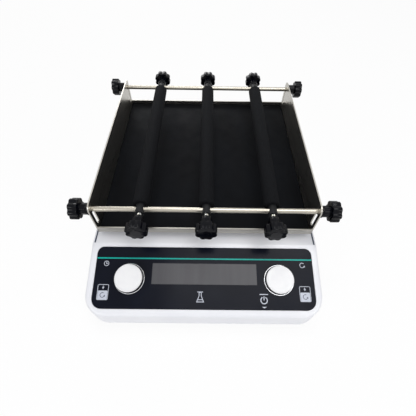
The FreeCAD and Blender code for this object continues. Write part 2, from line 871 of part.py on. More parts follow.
def bar_knob(x, side):
    """Knob with its own threaded stud, which presses on the cross rod inside the end fitting."""
    gap = rear_knob_gap if side > 0 else front_knob_gap
    direction = BACK * side
    tip = point(x, tray_y + side * (bar_end_reach + gap), rod_z)
    stud_start = tray_y + side * (rod_reach + rod_diameter / 2 + stud_clearance)
    stud = shaft_between(point(x, stud_start, rod_z), tip + direction * overrun, rod_thread_diameter / 2)
    return star_knob(tip, direction).fuse(stud).removeSplitter()


def control_panel():
    plate = panel_place(0, (panel_under, -panel_sink))
    window = display_place(0, (panel_under - overrun, overrun))
    holes = [window]
    for x, y in control_spots().values():
        radius = encoder_bush_diameter / 2 + encoder_bush_gap
        holes.append(column(x, y, panel_under - overrun, overrun, radius))
    return on_console(plate.cut(group(holes)))


def display_lens():
    return on_console(display_place(-press_gap, (panel_under, -panel_sink)))


def display_module():
    return on_console(display_place(display_border, (board_top, module_top)))


def control_board():
    half = board_width / 2
    board = block((-half, half), board_y, (board_top - board_thickness, board_top))
    holes = [column(x, y, board_top - overrun, board_top + overrun, small_screw_diameter / 2)
             for x, y in board_screw_spots()]
    return on_console(board.cut(group(holes)))


def small_screws():
    """Screws of the control board and of the mains inlet."""
    screws = []
    for x, y in board_screw_spots():
        seat = point(x, y, board_top - board_thickness)
        screws.append(on_console(small_screw(seat, UP, board_thickness + console_wall / 2)))
    for side in (-1, 1):
        x = inlet_across + side * inlet_screw_spacing / 2
        seat = point(x, base_back + inlet_flange_thickness, inlet_height)
        screws.append(small_screw(seat, -BACK, inlet_flange_thickness + housing_wall + level_gap))
    return group(screws)


def counterweight_screws():
    seat_z = counterweight_top - small_head_height
    return group([small_screw(point(x, y, seat_z), -UP, seat_z - web_bottom)
                  for x, y in counterweight_screw_spots()])


def knob_trim_rings():
    rings = []
    for x, y in control_spots().values():
        ring = column(x, y, -panel_sink, trim_height - panel_sink, trim_diameter / 2)
        bore = column(x, y, -panel_sink, trim_height, trim_diameter / 2 - trim_width)
        rings.append(on_console(ring.cut(bore)))
    return group(rings)


def encoder_bodies():
    bodies = []
    body_top = -console_wall - encoder_bush_gap
    for x, y in control_spots().values():
        case = middle_block(x, y, board_top, encoder_size, encoder_size, body_top - board_top)
        bush = column(x, y, body_top, -level_gap, encoder_bush_diameter / 2)
        bore = column(x, y, encoder_shaft_end() - control_travel - free_gap, overrun,
                      encoder_shaft_diameter / 2 + running_gap)
        bodies.append(on_console(case.fuse(bush).cut(bore)))
    return group(bodies)


def encoder_shaft_end():
    return board_top + 2 * control_travel


def encoder_shaft(name):
    x, y = control_spots()[name]
    top = control_lift + control_height - 2 * control_skirt
    return on_console(column(x, y, encoder_shaft_end(), top, encoder_shaft_diameter / 2))


def control_knob(name):
    x, y = control_spots()[name]
    radius = control_diameter / 2
    top = control_lift + control_height
    knob = column(x, y, control_lift, top, radius)
    upper = [edge for edge in knob.Edges if edge.Closed and edge.BoundBox.ZMin > control_lift + level_gap]
    knob = knob.makeFillet(control_edge_radius, upper)
    hollow = column(x, y, control_lift - overrun, top - control_skirt, radius - control_skirt)
    hub = column(x, y, control_lift, top, encoder_bush_diameter / 2)
    bore_top = top - 2 * control_skirt + press_gap
    bore = column(x, y, control_lift - overrun, bore_top, encoder_shaft_diameter / 2 + running_gap)
    return on_console(knob.cut(hollow).fuse(hub).removeSplitter().cut(bore))


def power_supply():
    case = middle_block(supply_x(), supply_y(), plate_top, supply_width, supply_length, supply_height)
    inner = middle_block(supply_x(), supply_y(), plate_top + supply_wall, supply_width - 2 * supply_wall,
                         supply_length - 2 * supply_wall, supply_height - 2 * supply_wall)
    case = case.cut(inner)
    slots = []
    slot_count = 7
    for index in range(slot_count):
        y = supply_y() + (index - (slot_count - 1) / 2) * supply_length / (slot_count + 1)
        slots.append(middle_block(supply_x(), y, plate_top + supply_height / 2, supply_width / 2,
                                  supply_wall * 2, supply_height))
    return case.cut(group(slots))


def power_inlet():
    x = inlet_across
    flange_x = inlet_flange_width / 2
    flange_z = inlet_flange_height / 2
    flange = block((x - flange_x, x + flange_x), (base_back, base_back + inlet_flange_thickness),
                   (inlet_height - flange_z, inlet_height + flange_z))
    body_x = inlet_body_width / 2
    body_z = inlet_body_height / 2
    body = block((x - body_x, x + body_x), (base_back - inlet_body_length, base_back),
                 (inlet_height - body_z, inlet_height + body_z))
    mouth = base_back + inlet_flange_thickness
    recess_x = inlet_recess_width / 2
    recess_z = inlet_recess_height / 2
    recess = block((x - recess_x, x + recess_x), (mouth - inlet_recess_depth, mouth + overrun),
                   (inlet_height - recess_z, inlet_height + recess_z))
    whole = flange.fuse(body).removeSplitter().cut(recess)
    cuts = [pin_block(spot, press_gap) for spot in pin_places()]
    for side in (-1, 1):
        hole_x = x + side * inlet_screw_spacing / 2
        cuts.append(shaft_between(point(hole_x, base_back - overrun, inlet_height),
                                  point(hole_x, base_back + overrun, inlet_height),
                                  small_screw_diameter / 2))
    return whole.cut(group(cuts))


def pin_places():
    return [(inlet_across - pin_spacing / 2, inlet_height - pin_rise / 2),
            (inlet_across + pin_spacing / 2, inlet_height - pin_rise / 2),
            (inlet_across, inlet_height + pin_rise / 2)]


def pin_block(spot, spare):
    """Upright flat pin, grown by a spare on its four long sides when it cuts its own hole."""
    x, z = spot
    end = base_back + inlet_flange_thickness - pin_thickness
    half_x = pin_thickness / 2 + spare
    half_z = pin_width / 2 + spare
    return block((x - half_x, x + half_x), (end - pin_length - pin_thickness, end),
                 (z - half_z, z + half_z))


def inlet_pins():
    return group([pin_block(spot, 0) for spot in pin_places()])


def switch_frame():
    x = switch_across
    half = switch_width / 2
    tall = switch_height / 2
    body = block((x - half, x + half), (base_back - switch_body_depth, base_back),
                 (inlet_height - tall, inlet_height + tall))
    flange = block((x - half - switch_flange, x + half + switch_flange), (base_back, base_back
                   + switch_flange), (inlet_height - tall - switch_flange, inlet_height + tall
                                      + switch_flange))
    inner_x = half - switch_wall
    inner_z = tall - switch_wall
    hollow = block((x - inner_x, x + inner_x), (base_back - switch_body_depth + switch_wall,
                                                base_back + overrun),
                   (inlet_height - inner_z, inlet_height + inner_z))
    axle = rocker_axle(inner_x + switch_wall / 2 + rocker_gap, running_gap)
    return body.fuse(flange).removeSplitter().cut(hollow).cut(axle)


def rocker_axle(reach, spare):
    return shaft_between(point(switch_across - reach, base_back, inlet_height),
                         point(switch_across + reach, base_back, inlet_height),
                         switch_wall / 2 + spare)


def power_switch():
    """Rocker with a shallow vee face, drawn with its upper half pressed in."""
    half_x = switch_width / 2 - switch_wall - rocker_gap
    half_z = switch_height / 2 - switch_wall - 2 * rocker_gap
    proud = switch_flange + switch_wall
    depth = switch_body_depth / 2
    profile = [(-half_z, proud), (0, switch_flange), (half_z, proud), (half_z / 2, -depth),
               (-half_z / 2, -depth)]
    spots = [point(switch_across - half_x, base_back + y, inlet_height + z) for z, y in profile]
    face = Part.Face(Part.makePolygon(spots + [spots[0]]))
    rocker = face.extrude(ACROSS * (2 * half_x))
    rocker = rocker.fuse(rocker_axle(half_x + rocker_gap + switch_wall / 2, 0)).removeSplitter()
    rocker.rotate(point(switch_across, base_back, inlet_height), ACROSS, rocker_tilt)
    return rocker


def all_parts():
    parts = {
        "base_plate": base_plate(),
        "housing_shell": housing_shell(),
        "rubber_feet": rubber_feet(),
        "plate_screws": plate_screws(),
        "control_panel": control_panel(),
        "display_lens": display_lens(),
        "display_module": display_module(),
        "control_board": control_board(),
        "knob_trim_rings": knob_trim_rings(),
        "encoder_bodies": encoder_bodies(),
        "power_inlet": power_inlet(),
        "inlet_pins": inlet_pins(),
        "switch_frame": switch_frame(),
        "power_switch": power_switch(),
        "power_supply": power_supply(),
        "drive_motor": drive_motor(),
        "bearing_housings": bearing_housings(),
        "shaft_bearings": shaft_bearings(),
        "drive_belt": drive_belt(),
        "mechanism_screws": mechanism_screws(),
        "small_screws": small_screws(),
        "main_crank": main_crank(),
        "drive_pulley": drive_pulley(),
        "counterweight": counterweight(),
        "counterweight_screws": counterweight_screws(),
        "motor_pulley": motor_pulley(),
        "carrier_plate": carrier_plate(),
        "carrier_bearings": carrier_bearings(),
        "carrier_posts": carrier_posts(),
        "tray": tray(),
        "tray_mat": tray_mat(),
        "tray_screws": tray_screws(),
        "front_rod": cross_rod(tray_y - rod_reach),
        "rear_rod": cross_rod(tray_y + rod_reach),
    }
    for name in follower_turn_shares:
        parts["follower_crank_" + name] = follower_crank(name)
    for name, x in bar_places().items():
        parts["bar_tube_" + name] = bar_tube(x)
        parts["foam_sleeve_" + name] = foam_sleeve(x)
        parts["bar_ends_" + name] = bar_ends(x)
        parts["bar_knob_front_" + name] = bar_knob(x, -1)
        parts["bar_knob_rear_" + name] = bar_knob(x, 1)
    for side_name, side in (("left", -1), ("right", 1)):
        parts["side_knob_front_" + side_name] = side_knob(side, -1)
        parts["side_knob_rear_" + side_name] = side_knob(side, 1)
        parts["encoder_shaft_" + side_name] = encoder_shaft(side_name)
        parts["control_knob_" + side_name] = control_knob(side_name)
    return parts


os.makedirs("parts", exist_ok=True)
for part_name, shape in all_parts().items():
    shape.exportStep("parts/" + part_name + ".step")
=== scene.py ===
import json
import math

import bmesh
import bpy
from mathutils import Matrix, Vector, noise


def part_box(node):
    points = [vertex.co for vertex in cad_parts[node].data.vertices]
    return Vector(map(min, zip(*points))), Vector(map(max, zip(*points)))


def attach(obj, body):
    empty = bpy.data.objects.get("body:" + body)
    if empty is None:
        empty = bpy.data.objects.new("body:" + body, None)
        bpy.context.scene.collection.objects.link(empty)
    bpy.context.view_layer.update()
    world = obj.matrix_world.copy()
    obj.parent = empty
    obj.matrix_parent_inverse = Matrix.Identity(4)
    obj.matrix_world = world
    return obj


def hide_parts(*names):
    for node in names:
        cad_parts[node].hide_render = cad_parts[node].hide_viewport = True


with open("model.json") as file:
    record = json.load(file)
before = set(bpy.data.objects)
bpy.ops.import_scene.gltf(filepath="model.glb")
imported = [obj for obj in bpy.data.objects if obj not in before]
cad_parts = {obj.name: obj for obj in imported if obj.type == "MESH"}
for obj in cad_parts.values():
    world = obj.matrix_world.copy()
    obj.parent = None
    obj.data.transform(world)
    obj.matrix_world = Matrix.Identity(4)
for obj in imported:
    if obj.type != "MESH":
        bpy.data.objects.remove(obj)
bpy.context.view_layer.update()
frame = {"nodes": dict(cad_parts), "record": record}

# Looks of the orbital shaker. Lengths are in metres, in the frame of the solids: z = 0 is the
# bench, the console looks towards -Y, and +X is the user's right.

mm = 0.001

# Console and panel, as the solids have them
console_slope = math.radians(16)
panel_thickness = 2 * mm
panel_sink = 0.3 * mm
panel_width = 340 * mm
panel_depth = 94 * mm
panel_upper_radius = 10 * mm
panel_lower_radius = 15.5 * mm
control_across = 115.8 * mm

# Rim round the panel
rim_width = 1.5 * mm
rim_rise = 0.35 * mm
rim_gap = 0.3 * mm
rim_round = 0.3 * mm

# Prints on the panel, placed across from its middle and down from its top edge
ink_thickness = 0.05 * mm
ink_sink = 0.02 * mm
line_down = 18 * mm
line_width = 2.1 * mm
symbol_stroke = 0.9 * mm
power_across = 91 * mm
power_down = 79.8 * mm
power_radius = 4.9 * mm
power_stroke = 1.6 * symbol_stroke
power_gap = math.radians(55)
power_bar_length = 5.6 * mm
header_down = 71.2 * mm
header_width = 13 * mm
header_height = 1.3 * mm
pointer_down = 90.2 * mm
pointer_width = 7.6 * mm
pointer_height = 2.2 * mm
box_across = 154.5 * mm
box_down = 70 * mm
box_width = 17 * mm
box_height = 23 * mm
box_radius = 2.2 * mm
box_line = 0.8 * mm
box_split = 8.5 * mm
flask_across = -6 * mm
flask_down = 76 * mm
flask_height = 15 * mm
flask_foot = 12 * mm
flask_neck = 4.4 * mm
flask_shoulder_share = 0.62
flask_line = 1.1 * mm
caption_across = 154 * mm
caption_down = 26.5 * mm
caption_radius = 3.6 * mm
turn_arrow_start = math.radians(60)
turn_arrow_sweep = math.radians(280)
orbit_arrow_start = math.radians(40)
orbit_arrow_sweep = math.radians(290)
arc_step = math.radians(9)
least_arc_steps = 4
closed_sweep = math.radians(359)

# Foam sleeves and mat
foam_bore_radius = 5 * mm
foam_round = 1.8 * mm
foam_ring_pitch = 6 * mm
foam_swell = 0.12 * mm
foam_swell_length = 45 * mm
foam_rim_share = 0.9
foam_skin_share = 0.8
mat_round = 0.8 * mm
mat_corner_radius = 3 * mm
mat_wave = 0.12 * mm
mat_wave_length = 90 * mm
mat_cells = 60

# Star knobs
knob_radius = 16.5 * mm
knob_lobes = 8
knob_notch_depth = 2.5 * mm
knob_notch_round = 1.3 * mm
knob_head_length = 14 * mm
knob_hub_length = 14.5 * mm
knob_hub_tip_radius = 7.2 * mm
knob_hub_root_radius = 9 * mm
knob_cone_length = 5 * mm
knob_flute_depth = 0.7 * mm
knob_rim_round = 1.6 * mm
knob_cap_radius = 8.3 * mm
knob_cap_rise = 0.5 * mm
knob_cap_round = 0.4 * mm
flange_radius = 9.7 * mm
flange_length = 3 * mm
stud_radius = 3 * mm
stud_reach = 9.6 * mm
thread_pitch = 1 * mm
thread_depth = 0.45 * mm

# Control knobs and their rings
cap_height = 3.2 * mm
cap_rim_width = 1.1 * mm
cap_rim_rise = 0.35 * mm
cap_chamfer = 0.7 * mm
skirt_inset = 1.3 * mm
ring_width = 1.2 * mm
ring_height = 1.5 * mm
ring_radius = 23.3 * mm
ring_round = 0.4 * mm

# Painted shade: dark strips along the deck's side edges, where the tray's sides shade them
side_trim_width = 2.2 * mm
side_trim_rise = 0.4 * mm
side_trim_inset = 3.4 * mm
side_trim_start = 6 * mm
side_trim_length = 320 * mm

# Marks on the mains rocker
rocker_pivot = Vector((-52, 204.5, 46)) * mm
rocker_tilt = math.radians(8)
rocker_vee = math.radians(8.97)
rocker_face = 2 * mm
rocker_mark_reach = 5.2 * mm
rocker_mark_size = 1.7 * mm
rocker_mark_stroke = 0.5 * mm

# Roundings, turned shapes and shading
bevel_profile = 0.5
edge_segments = 3
corner_segments = 6
panel_corner_segments = 12
mat_corner_segments = 5
foam_rim_segments = 4
turn_steps = 48
fine_turn_steps = 96
stud_turn_steps = 24
foam_turn_steps = 56
weld_distance = mm / 1000
merge_distance = 0.002 * mm
level_tolerance = mm / 100
level_normal = 0.5
smooth_angle = math.radians(28)

# Curve that turns sRGB into linear colour
srgb_toe = 0.04045
srgb_toe_slope = 12.92
srgb_offset = 0.055
srgb_power = 2.4

# Numbers of the Mix node's sockets that carry colours
mix_first_colour = 6
mix_second_colour = 7
mix_result_colour = 2

# Parts of the noise's range over which a finish drifts
tint_low = 0.35
tint_high = 0.65
gloss_low = 0.3
gloss_high = 0.7

# Camera, as solved from the photograph
camera_place = Vector((1.6, -367.6, 494.1)) * mm
camera_pitch = math.radians(53.951)
camera_yaw = math.radians(0.596)
camera_roll = math.radians(1.167)
camera_lens = 25.3
camera_sensor = 36

# Studio
floor_size = 40
floor_glow = 0.92
surround_strength = 0.28

# Soft lights: name, place, aim, width and depth, all in metres, and power in watts
softboxes = [
    ("ceiling_light", (0.3, -0.45, 1.6), (0.3, -0.45, 0.05), 1.1, 0.6, 5.5),
    ("front_left_light", (-1.3, -1.5, 1.0), (0, -0.05, 0.05), 0.8, 0.6, 13),
    ("front_right_light", (1.3, -1.3, 1.0), (0, -0.05, 0.05), 0.7, 0.6, 8.5),
    ("top_light", (0.2, 0.26, 1.9), (0, -0.1, 0.1), 1.5, 0.45, 11.5),
    ("rear_light", (-0.5, 2.3, 0.9), (0, 0, 0.05), 1.2, 0.8, 14),
]


def linear(hex_colour):
    """Turns an sRGB hex colour into the linear colour that shaders take."""
    parts = [int(hex_colour[i:i + 2], 16) / 255 for i in (1, 3, 5)]
    return [part / srgb_toe_slope if part <= srgb_toe
            else ((part + srgb_offset) / (1 + srgb_offset)) ** srgb_power
            for part in parts] + [1]


def add_node(tree, kind, inputs, **settings):
    """Adds a node. Each input takes a plain value, or a socket to link from."""
    made = tree.nodes.new(kind)
    for name, value in settings.items():
        setattr(made, name, value)
    for socket, value in inputs.items():
        if isinstance(value, bpy.types.NodeSocket):
            tree.links.new(value, made.inputs[socket])
        else:
            made.inputs[socket].default_value = value
    return made


class Finish:
    """One procedural material: a Principled shader with patterns laid in the piece's own place."""

    def __init__(self, name, colour, **sockets):
        self.material = bpy.data.materials.new(name)
        self.material.use_nodes = True
        self.tree = self.material.node_tree
        self.tree.nodes.clear()
        values = {"Base Color": linear(colour)}
        values.update({socket.replace("_", " "): value for socket, value in sockets.items()})
        self.colour = linear(colour)
        self.shader = add_node(self.tree, "ShaderNodeBsdfPrincipled", values)
        add_node(self.tree, "ShaderNodeOutputMaterial", {"Surface": self.shader.outputs["BSDF"]})
        self.place = add_node(self.tree, "ShaderNodeTexCoord", {}).outputs["Object"]

    def pattern(self, size, stretch=(1, 1, 1), detail=3):
        """Noise whose blotches are size metres wide, drawn longer along any stretched axis."""
        scale = [1 / (size * along) for along in stretch]
        mapped = add_node(self.tree, "ShaderNodeMapping",
                          {"Vector": self.place, "Scale": scale}).outputs["Vector"]
        return add_node(self.tree, "ShaderNodeTexNoise",
                        {"Vector": mapped, "Scale": 1, "Detail": detail}).outputs["Fac"]

    def tint(self, pattern, other, low=tint_low, high=tint_high):
        """Lets the colour drift to another one where the pattern is high."""
        share = add_node(self.tree, "ShaderNodeMapRange",
                         {"Value": pattern, "From Min": low, "From Max": high}).outputs["Result"]
        mix = add_node(self.tree, "ShaderNodeMix", {"Factor": share}, data_type="RGBA")
        mix.inputs[mix_first_colour].default_value = self.colour
        mix.inputs[mix_second_colour].default_value = linear(other)
        self.tree.links.new(mix.outputs[mix_result_colour], self.shader.inputs["Base Color"])

    def gloss(self, pattern, low, high):
        """Lets the roughness drift between two values."""
        rough = add_node(self.tree, "ShaderNodeMapRange",
                         {"Value": pattern, "From Min": gloss_low, "From Max": gloss_high,
                          "To Min": low, "To Max": high}).outputs["Result"]
        self.tree.links.new(rough, self.shader.inputs["Roughness"])

    def relief(self, pattern, depth):
        """Raises and sinks the surface by the pattern, depth metres from low to high."""
        bump = add_node(self.tree, "ShaderNodeBump", {"Height": pattern, "Distance": depth})
        self.tree.links.new(bump.outputs["Normal"], self.shader.inputs["Normal"])


def abs_moulded_white():
    """Injection-moulded ABS: a clean cool white with a soft gloss and a faint orange peel."""
    finish = Finish("abs_moulded_white", "#ecedf1", Roughness=0.34)
    finish.tint(finish.pattern(size=60 * mm), "#e7e8ed")
    finish.gloss(finish.pattern(size=25 * mm), low=0.3, high=0.4)
    # Spark-eroded grain is about 0.3 mm; it is drawn 1 mm wide so that it shows.
    finish.relief(finish.pattern(size=1 * mm), depth=0.012 * mm)
    return finish.material


def abs_moulded_knob():
    """Injection-moulded ABS, polished: a brighter white with a crisp gloss along the edge."""
    finish = Finish("abs_moulded_knob", "#f1f1f2", Roughness=0.26, Specular_IOR_Level=0.35)
    finish.tint(finish.pattern(size=18 * mm), "#ececee")
    finish.relief(finish.pattern(size=1.2 * mm), depth=0.006 * mm)
    return finish.material


def polyester_overlay():
    """Back-printed polyester film: deep navy black under a hard clear gloss with slight ripple."""
    finish = Finish("polyester_overlay", "#080b17", Roughness=0.2, Specular_IOR_Level=0.09)
    finish.tint(finish.pattern(size=45 * mm), "#0c101c")
    finish.gloss(finish.pattern(size=30 * mm), low=0.16, high=0.24)
    finish.relief(finish.pattern(size=14 * mm), depth=0.012 * mm)
    return finish.material


def acrylic_window():
    """Grey-tinted acrylic over an unlit display: flat mid grey with faint upright streaks."""
    finish = Finish("acrylic_window", "#4c4b4f", Roughness=0.22, Specular_IOR_Level=0.2)
    finish.tint(finish.pattern(size=9 * mm, stretch=(1, 12, 12)), "#505053")
    finish.gloss(finish.pattern(size=20 * mm), low=0.18, high=0.26)
    return finish.material


def ink_teal():
    """Screen-printed teal ink: an even satin line with a slightly grainy edge of colour."""
    finish = Finish("ink_teal", "#0aa89b", Roughness=0.3, Specular_IOR_Level=0.2)
    finish.tint(finish.pattern(size=1.5 * mm), "#0c9f94")
    return finish.material


def ink_pale():
    """Screen-printed pale grey ink: cool and satin, a little uneven in strength."""
    finish = Finish("ink_pale", "#c6cad6", Roughness=0.35)
    finish.tint(finish.pattern(size=1.2 * mm), "#b9becb")
    return finish.material


def ink_dark():
    """Screen-printed dark ink: navy figures on the pale cells, satin and a little uneven."""
    finish = Finish("ink_dark", "#3a4152", Roughness=0.35)
    finish.tint(finish.pattern(size=1.2 * mm), "#444b5c")
    return finish.material


def chrome_plated_trim():
    """Chrome plate on brass: a mirror ring that draws a bright line round each knob."""
    finish = Finish("chrome_plated_trim", "#dcdde0", Metallic=1, Roughness=0.1)
    finish.gloss(finish.pattern(size=4 * mm), low=0.07, high=0.16)
    return finish.material


def phenolic_moulded_black():
    """Compression-moulded phenolic: near-black satin lobes with a fine pebble and worn gloss."""
    finish = Finish("phenolic_moulded_black", "#020308", Roughness=0.15, Specular_IOR_Level=0.13)
    finish.tint(finish.pattern(size=6 * mm), "#05060d")
    finish.gloss(finish.pattern(size=5 * mm), low=0.11, high=0.2)
    # The moulding grain is about 0.2 mm; it is drawn 0.8 mm wide so that it shows.
    finish.relief(finish.pattern(size=0.8 * mm), depth=0.008 * mm)
    return finish.material


def nylon_glass_filled():
    """Glass-filled nylon: matt black with faint paler fibre clouds."""
    finish = Finish("nylon_glass_filled", "#08090b", Roughness=0.42, Specular_IOR_Level=0.2)
    finish.tint(finish.pattern(size=1.5 * mm, stretch=(1, 4, 1)), "#131417")
    finish.relief(finish.pattern(size=0.9 * mm), depth=0.02 * mm)
    return finish.material


def polycarbonate_black():
    """Moulded polycarbonate: black with a clear gloss, as on mains switches."""
    finish = Finish("polycarbonate_black", "#0e0e0f", Roughness=0.25)
    finish.tint(finish.pattern(size=8 * mm), "#151517")
    finish.gloss(finish.pattern(size=5 * mm), low=0.2, high=0.32)
    return finish.material


def foam_closed_cell():
    """Extruded closed-cell nitrile foam: deep matt black skin with fine pores and soft sheen."""
    finish = Finish("foam_closed_cell", "#08090b", Roughness=0.8, Specular_IOR_Level=0.08)
    finish.tint(finish.pattern(size=1.1 * mm, detail=4), "#17181c", low=0.45, high=0.7)
    # Pores are about 0.3 mm; they are drawn 1.3 mm wide so that they show.
    finish.relief(finish.pattern(size=1.3 * mm, detail=5), depth=0.14 * mm)
    return finish.material


def rubber_sheet():
    """Calendered rubber sheet: satin black with a cloudy bloom and faint rolling lines."""
    finish = Finish("rubber_sheet", "#07080b", Roughness=0.5, Specular_IOR_Level=0.05)
    finish.tint(finish.pattern(size=35 * mm, stretch=(1, 3, 1)), "#0b0d11")
    finish.gloss(finish.pattern(size=20 * mm), low=0.48, high=0.62)
    finish.relief(finish.pattern(size=1.6 * mm, stretch=(1, 5, 1)), depth=0.02 * mm)
    return finish.material


def rubber_moulded():
    """Moulded rubber feet: matt charcoal, dusty where they meet the bench."""
    finish = Finish("rubber_moulded", "#161617", Roughness=0.75)
    finish.tint(finish.pattern(size=5 * mm), "#222223")
    finish.relief(finish.pattern(size=1 * mm), depth=0.05 * mm)
    return finish.material


def neoprene_belt():
    """Ribbed neoprene belt: dull black, with its ribs lying across the run."""
    finish = Finish("neoprene_belt", "#131313", Roughness=0.7)
    finish.tint(finish.pattern(size=3 * mm), "#1d1d1d")
    finish.relief(finish.pattern(size=1.2 * mm, stretch=(1, 1, 8)), depth=0.1 * mm)
    return finish.material


def stainless_sheet():
    """Ground stainless sheet, grade 304: warm grey with long grinding lines along its length."""
    finish = Finish("stainless_sheet", "#b0ada6", Metallic=1, Roughness=0.3)
    lines = finish.pattern(size=1.2 * mm, stretch=(60, 60, 1))
    finish.tint(lines, "#b4b1aa")
    finish.gloss(lines, low=0.27, high=0.33)
    return finish.material


def stainless_bar():
    """Polished stainless bar: cream-white highlights, with faint lines drawn along it."""
    finish = Finish("stainless_bar", "#b0aba0", Metallic=1, Roughness=0.27)
    lines = finish.pattern(size=0.8 * mm, stretch=(40, 1, 1))
    finish.tint(lines, "#a8a398")
    finish.gloss(lines, low=0.22, high=0.33)
    return finish.material


def zinc_plated_steel():
    """Zinc-plated steel screws: pale grey with a faint blue and yellow passivation cloud."""
    finish = Finish("zinc_plated_steel", "#c3c6c9", Metallic=1, Roughness=0.32)
    finish.tint(finish.pattern(size=3 * mm), "#c9c4b2")
    finish.gloss(finish.pattern(size=1.5 * mm), low=0.25, high=0.42)
    return finish.material


def steel_ground():
    """Ground bearing steel: clean bright grey with fine turning lines."""
    finish = Finish("steel_ground", "#b9babc", Metallic=1, Roughness=0.22)
    finish.gloss(finish.pattern(size=0.8 * mm, stretch=(1, 1, 20)), low=0.16, high=0.3)
    finish.tint(finish.pattern(size=12 * mm), "#afb0b3")
    return finish.material


def aluminium_milled():
    """Milled aluminium: silvery satin with the cutter's short streaks."""
    finish = Finish("aluminium_milled", "#c4c5c7", Metallic=1, Roughness=0.36)
    streaks = finish.pattern(size=1.2 * mm, stretch=(8, 1, 1))
    finish.tint(streaks, "#b8babc")
    finish.gloss(streaks, low=0.3, high=0.44)
    return finish.material


def iron_machined():
    """Machined cast iron counterweight: dull dark grey with open grain."""
    finish = Finish("iron_machined", "#5a5b5d", Metallic=0.8, Roughness=0.55)
    finish.tint(finish.pattern(size=1.5 * mm, detail=5), "#4b4c4e")
    finish.relief(finish.pattern(size=1.1 * mm), depth=0.05 * mm)
    return finish.material


def powder_coated_steel():
    """Powder-coated steel plate: light grey satin with a pebbled skin."""
    finish = Finish("powder_coated_steel", "#b4b6ba", Roughness=0.5)
    finish.tint(finish.pattern(size=30 * mm), "#adafb4")
    # The pebble of powder coat is about 0.5 mm; it is drawn 1.2 mm wide so that it shows.
    finish.relief(finish.pattern(size=1.2 * mm), depth=0.05 * mm)
    return finish.material


def enamelled_motor():
    """Black stove enamel on the motor's can: even and half glossy."""
    finish = Finish("enamelled_motor", "#1b1c1f", Roughness=0.4)
    finish.tint(finish.pattern(size=15 * mm), "#232427")
    finish.relief(finish.pattern(size=1.5 * mm), depth=0.02 * mm)
    return finish.material


def circuit_board():
    """Glass-fibre board under green lacquer: dark green with paler copper areas below."""
    finish = Finish("circuit_board", "#1d5a35", Roughness=0.35)
    finish.tint(finish.pattern(size=6 * mm, detail=0), "#2c7447", low=0.48, high=0.52)
    return finish.material


def brass_nickel_plated():
    """Nickel-plated brass pins: warm silver, rubbed towards brass at the ends."""
    finish = Finish("brass_nickel_plated", "#cfc3a4", Metallic=1, Roughness=0.28)
    finish.tint(finish.pattern(size=4 * mm), "#c9b078")
    return finish.material


finishes = {
    "chassis_paint": powder_coated_steel(),
    "housing_white": abs_moulded_white(),
    "rubber_black": rubber_moulded(),
    "screw_steel": zinc_plated_steel(),
    "panel_black": polyester_overlay(),
    "display_grey": acrylic_window(),
    "moulded_black": nylon_glass_filled(),
    "board_green": circuit_board(),
    "bright_trim": chrome_plated_trim(),
    "pin_brass": brass_nickel_plated(),
    "switch_black": polycarbonate_black(),
    "plain_aluminium": aluminium_milled(),
    "motor_paint": enamelled_motor(),
    "bearing_steel": steel_ground(),
    "belt_rubber": neoprene_belt(),
    "weight_iron": iron_machined(),
    "tray_stainless": stainless_sheet(),
    "mat_rubber": rubber_sheet(),
    "rod_stainless": stainless_bar(),
    "foam_black": foam_closed_cell(),
    "knob_black": phenolic_moulded_black(),
    "control_white": abs_moulded_knob(),
}
inks = {"teal": ink_teal(), "pale": ink_pale(), "dark": ink_dark()}


def smooth_shading():
    """Modifier group that joins a solid's loose triangles and shades its round faces smooth."""
    tree = bpy.data.node_groups.new("smooth_shading", "GeometryNodeTree")
    tree.interface.new_socket("Geometry", in_out="INPUT", socket_type="NodeSocketGeometry")
    tree.interface.new_socket("Geometry", in_out="OUTPUT", socket_type="NodeSocketGeometry")
    start = tree.nodes.new("NodeGroupInput")
    merged = add_node(tree, "GeometryNodeMergeByDistance",
                      {"Geometry": start.outputs["Geometry"], "Distance": merge_distance})
    angle = add_node(tree, "GeometryNodeInputMeshEdgeAngle", {})
    gentle = add_node(tree, "FunctionNodeCompare",
                      {"A": angle.outputs["Unsigned Angle"], "B": smooth_angle},
                      operation="LESS_THAN")
    edges = add_node(tree, "GeometryNodeSetShadeSmooth",
                     {"Geometry": merged.outputs["Geometry"],
                      "Shade Smooth": gentle.outputs["Result"]}, domain="EDGE")
    faces = add_node(tree, "GeometryNodeSetShadeSmooth",
                     {"Geometry": edges.outputs["Geometry"], "Shade Smooth": True}, domain="FACE")
    add_node(tree, "NodeGroupOutput", {"Geometry": faces.outputs["Geometry"]})
    return tree


def dress_solids():
    """Gives every solid its finish and smooth round faces."""
    group = smooth_shading()
    for row in frame["record"]["subparts"]:
        solid = frame["nodes"][row["node"]]
        solid.data.materials.clear()
        solid.data.materials.append(finishes[row["material_slot"]])
        smooth = solid.modifiers.new("smooth_shading", "NODES")
        smooth.node_group = group


def make_piece(name, shape, material, body):
    """Turns a finished shape into a piece that rides on a body."""
    mesh = bpy.data.meshes.new(name)
    shape.to_mesh(mesh)
    shape.free()
    mesh.shade_smooth()
    mesh.set_sharp_from_angle(angle=smooth_angle)
    mesh.materials.append(material)
    piece = bpy.data.objects.new(name, mesh)
    bpy.context.scene.collection.objects.link(piece)
    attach(piece, body)
    return piece


def add_strip(shape, across, up, width, height):
    """Adds a flat rectangle centred on a place."""
    place = Matrix.Translation((across, up, 0)) @ Matrix.Diagonal((width, height, 1, 1))
    made = bmesh.ops.create_grid(shape, x_segments=1, y_segments=1, size=1 / 2, matrix=place)
    return made["verts"]


def round_off(shape, parts, radius, segments=edge_segments, affect="EDGES", clamp=False):
    """Rounds edges, or with VERTICES the corners of a flat outline."""
    bmesh.ops.bevel(shape, geom=parts, offset=radius, offset_type="OFFSET", segments=segments,
                    profile=bevel_profile, affect=affect, clamp_overlap=clamp, material=-1)


